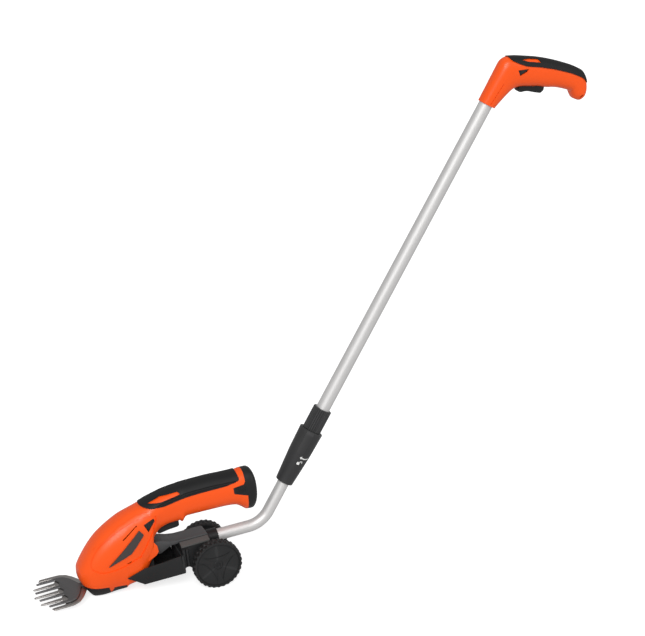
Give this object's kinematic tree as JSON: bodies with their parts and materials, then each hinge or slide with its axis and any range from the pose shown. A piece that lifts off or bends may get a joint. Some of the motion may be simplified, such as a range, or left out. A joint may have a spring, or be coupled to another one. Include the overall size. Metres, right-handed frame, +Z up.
{
  "type": "grass and shrub shears",
  "caption": "Cordless grass shears clipped into a wheeled trolley whose bent telescopic pole carries a second trigger handle, for trimming lawn edges while standing.",
  "frame": {"origin": "ground point under the middle of the whole object's bounding box, pole pushed in and shears docked", "axes": "-X is the cutting direction, +X points to the user's handle, Y is along the wheel axle (-Y is the left side), +Z is up from the ground"},
  "size_m": [0.8929, 0.104, 0.8045],
  "materials": {
    "orange_plastic": "satin moulded plastic",
    "black_plastic": "fine-grained moulded plastic",
    "dark_grey_plastic": "fine-grained moulded plastic",
    "black_soft_grip": "matt soft grip with fine ribs",
    "badge_plate": "plain satin plate",
    "blade_steel": "ground sheet steel",
    "coated_blade_steel": "dark low-friction coating",
    "bright_steel": "bright turned steel",
    "satin_aluminium": "satin anodised",
    "brass": "bright",
    "white_nylon": "moulded nylon",
    "cell_wrap": "printed shrink sleeve on a metal can",
    "board_green": "solder mask"
  },
  "bodies": {
    "trolley": {"trolley_base": "black_plastic", "trolley_top_arm": "dark_grey_plastic", "axle": "bright_steel", "axle_clip_left": "bright_steel", "axle_clip_right": "bright_steel", "lower_tube": "satin_aluminium", "tube_screw": "bright_steel", "contact_pin_left": "brass", "contact_pin_right": "brass"},
    "left_wheel": {"tyre_left": "black_plastic", "wheel_disc_left": "black_plastic", "hub_cap_left": "black_plastic"},
    "right_wheel": {"tyre_right": "black_plastic", "wheel_disc_right": "black_plastic", "hub_cap_right": "black_plastic"},
    "shears": {"shell_left": "orange_plastic", "shell_right": "orange_plastic", "grip_pad": "black_soft_grip", "rear_cap": "black_plastic", "badge_left": "badge_plate", "badge_right": "badge_plate", "glide_shoe": "black_plastic", "comb_blade": "blade_steel", "blade_pivot_screw": "bright_steel", "gear_plate": "bright_steel", "gear_shaft": "bright_steel", "motor": "bright_steel", "battery_cell_lower": "cell_wrap", "battery_cell_upper": "cell_wrap", "battery_holder": "dark_grey_plastic", "power_switch": "black_plastic", "charge_board": "board_green", "contact_block": "black_plastic", "shell_screw_1": "bright_steel", "shell_screw_2": "bright_steel", "shell_screw_3": "bright_steel", "shell_screw_4": "bright_steel", "trigger_spring": "bright_steel"},
    "cutter": {"cutter_blade": "coated_blade_steel"},
    "crank_gear": {"drive_gear": "white_nylon"},
    "pinion": {"motor_pinion": "brass", "motor_shaft": "bright_steel"},
    "shears_trigger": {"trigger": "black_plastic"},
    "shears_lock": {"lock_button": "black_plastic"},
    "upper_pole": {"upper_tube": "satin_aluminium", "clamp_collar": "black_plastic", "clamp_collet": "white_nylon", "handle_shell_left": "orange_plastic", "handle_shell_right": "orange_plastic", "handle_pad": "black_soft_grip", "handle_screw_1": "bright_steel", "handle_screw_2": "bright_steel", "handle_switch": "black_plastic", "handle_trigger_spring": "bright_steel"},
    "clamp_sleeve": {"twist_sleeve": "black_plastic"},
    "top_trigger": {"handle_trigger": "black_plastic"},
    "top_lock": {"handle_lock_button": "black_plastic"}
  },
  "joints": [
    {"name": "left_wheel_spin", "type": "hinge", "parent": "trolley", "child": "left_wheel", "pos_m": [-0.16477, 0, 0.039], "axis": [0, 1, 0], "continuous": true},
    {"name": "right_wheel_spin", "type": "hinge", "parent": "trolley", "child": "right_wheel", "pos_m": [-0.16477, 0, 0.039], "axis": [0, 1, 0], "continuous": true},
    {"name": "shears_slide", "type": "slide", "parent": "trolley", "child": "shears", "axis": [-0.9912, 0, -0.1323], "range_m": [0, 0.1]},
    {"name": "cutter_swing", "type": "hinge", "parent": "shears", "child": "cutter", "pos_m": [-0.35983, 0, 0.01893], "axis": [-0.1323, 0, 0.9912], "range_deg": [-11.4, 7.4]},
    {"name": "gear_spin", "type": "hinge", "parent": "shears", "child": "crank_gear", "pos_m": [-0.32871, 0, 0.02762], "axis": [-0.1323, 0, 0.9912], "continuous": true},
    {"name": "pinion_spin", "type": "hinge", "parent": "shears", "child": "pinion", "pos_m": [-0.30591, 0, 0.03066], "axis": [-0.1323, 0, 0.9912], "continuous": true},
    {"name": "trigger_slide", "type": "slide", "parent": "shears", "child": "shears_trigger", "axis": [-0.1323, 0, 0.9912], "range_m": [0, 0.0035], "stiffness_N_per_m": 1200, "springref_m": -0.002, "deforming": ["trigger_spring"]},
    {"name": "lock_button_slide", "type": "slide", "parent": "shears", "child": "shears_lock", "axis": [0, 1, 0], "range_m": [-0.003, 0.003], "stiffness_N_per_m": 800},
    {"name": "pole_slide", "type": "slide", "parent": "trolley", "child": "upper_pole", "axis": [0.4802, 0, 0.8771], "range_m": [0, 0.22]},
    {"name": "clamp_twist", "type": "hinge", "parent": "upper_pole", "child": "clamp_sleeve", "pos_m": [-0.04281, 0, 0.14555], "axis": [0.4802, 0, 0.8771], "range_deg": [0, 90]},
    {"name": "top_trigger_slide", "type": "slide", "parent": "upper_pole", "child": "top_trigger", "axis": [0.1167, 0, 0.9932], "range_m": [0, 0.004], "stiffness_N_per_m": 1200, "springref_m": -0.002, "deforming": ["handle_trigger_spring"]},
    {"name": "top_lock_slide", "type": "slide", "parent": "upper_pole", "child": "top_lock", "axis": [0, 1, 0], "range_m": [-0.003, 0.003], "stiffness_N_per_m": 800}
  ],
  "couplings": [
    {"joint": "pinion_spin", "follows": "gear_spin", "ratio": -3.6}
  ]
}
